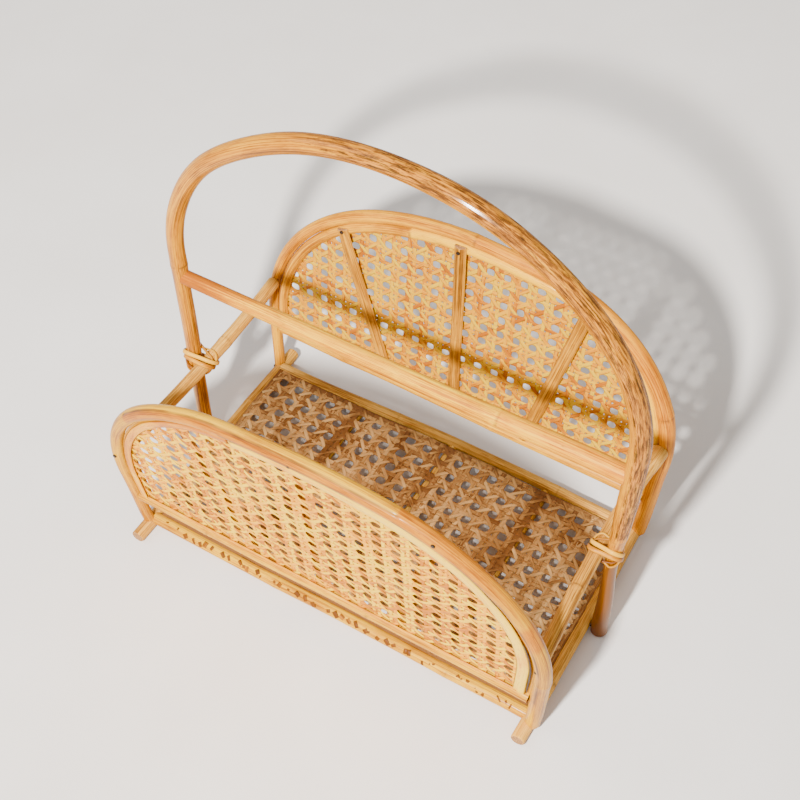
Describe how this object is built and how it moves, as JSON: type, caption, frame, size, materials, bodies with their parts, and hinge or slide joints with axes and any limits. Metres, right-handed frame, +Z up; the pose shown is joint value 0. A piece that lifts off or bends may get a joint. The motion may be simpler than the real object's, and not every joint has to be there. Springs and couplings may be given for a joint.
{
  "type": "magazine rack",
  "caption": "Rattan magazine rack with caned end hoops, a woven floor, a divider bar and a tall carrying hoop.",
  "frame": {"origin": "on the floor, under the middle of the rack", "axes": "+Z up, +X along the rack's length, +Y from the front panel to the back panel"},
  "size_m": [0.427, 0.269, 0.4302],
  "materials": {
    "handle_pole": "varnished rattan, darker bark on the outer side",
    "divider_pole": "worn varnished rattan",
    "front_pole": "glossy pale rattan",
    "back_pole": "glossy golden rattan",
    "base_pole": "dull rattan",
    "rib_wood": "split rattan core",
    "panel_cane": "woven cane, satin",
    "base_cane": "aged woven cane",
    "binding_cane": "flat cane strip, glossy",
    "nail_steel": "dark steel"
  },
  "bodies": {
    "root": {"handle_hoop": "handle_pole", "divider_bar": "divider_pole", "left_arm_rail": "base_pole", "right_arm_rail": "base_pole", "left_runner": "base_pole", "right_runner": "base_pole", "base_front_rail": "front_pole", "base_back_rail": "base_pole", "base_cross_bar_left": "base_pole", "base_cross_bar_middle": "base_pole", "base_cross_bar_right": "base_pole", "floor_cane": "base_cane", "front_outer_hoop": "front_pole", "front_inner_hoop": "front_pole", "front_bottom_rail": "front_pole", "front_rib_left": "rib_wood", "front_rib_middle": "rib_wood", "front_rib_right": "rib_wood", "front_cane": "panel_cane", "front_binder": "binding_cane", "front_bottom_binder": "binding_cane", "back_outer_hoop": "back_pole", "back_inner_hoop": "back_pole", "back_bottom_rail": "back_pole", "back_rib_left": "rib_wood", "back_rib_middle": "rib_wood", "back_rib_right": "rib_wood", "back_cane": "panel_cane", "back_binder": "binding_cane", "left_lashing": "binding_cane", "right_lashing": "binding_cane", "divider_nails": "nail_steel", "runner_nails": "nail_steel", "hoop_foot_nails": "nail_steel", "arm_nails": "nail_steel", "base_rail_nails": "nail_steel", "front_rib_nails": "nail_steel", "back_rib_nails": "nail_steel", "hoop_splice_nails": "nail_steel"}
  },
  "joints": []
}
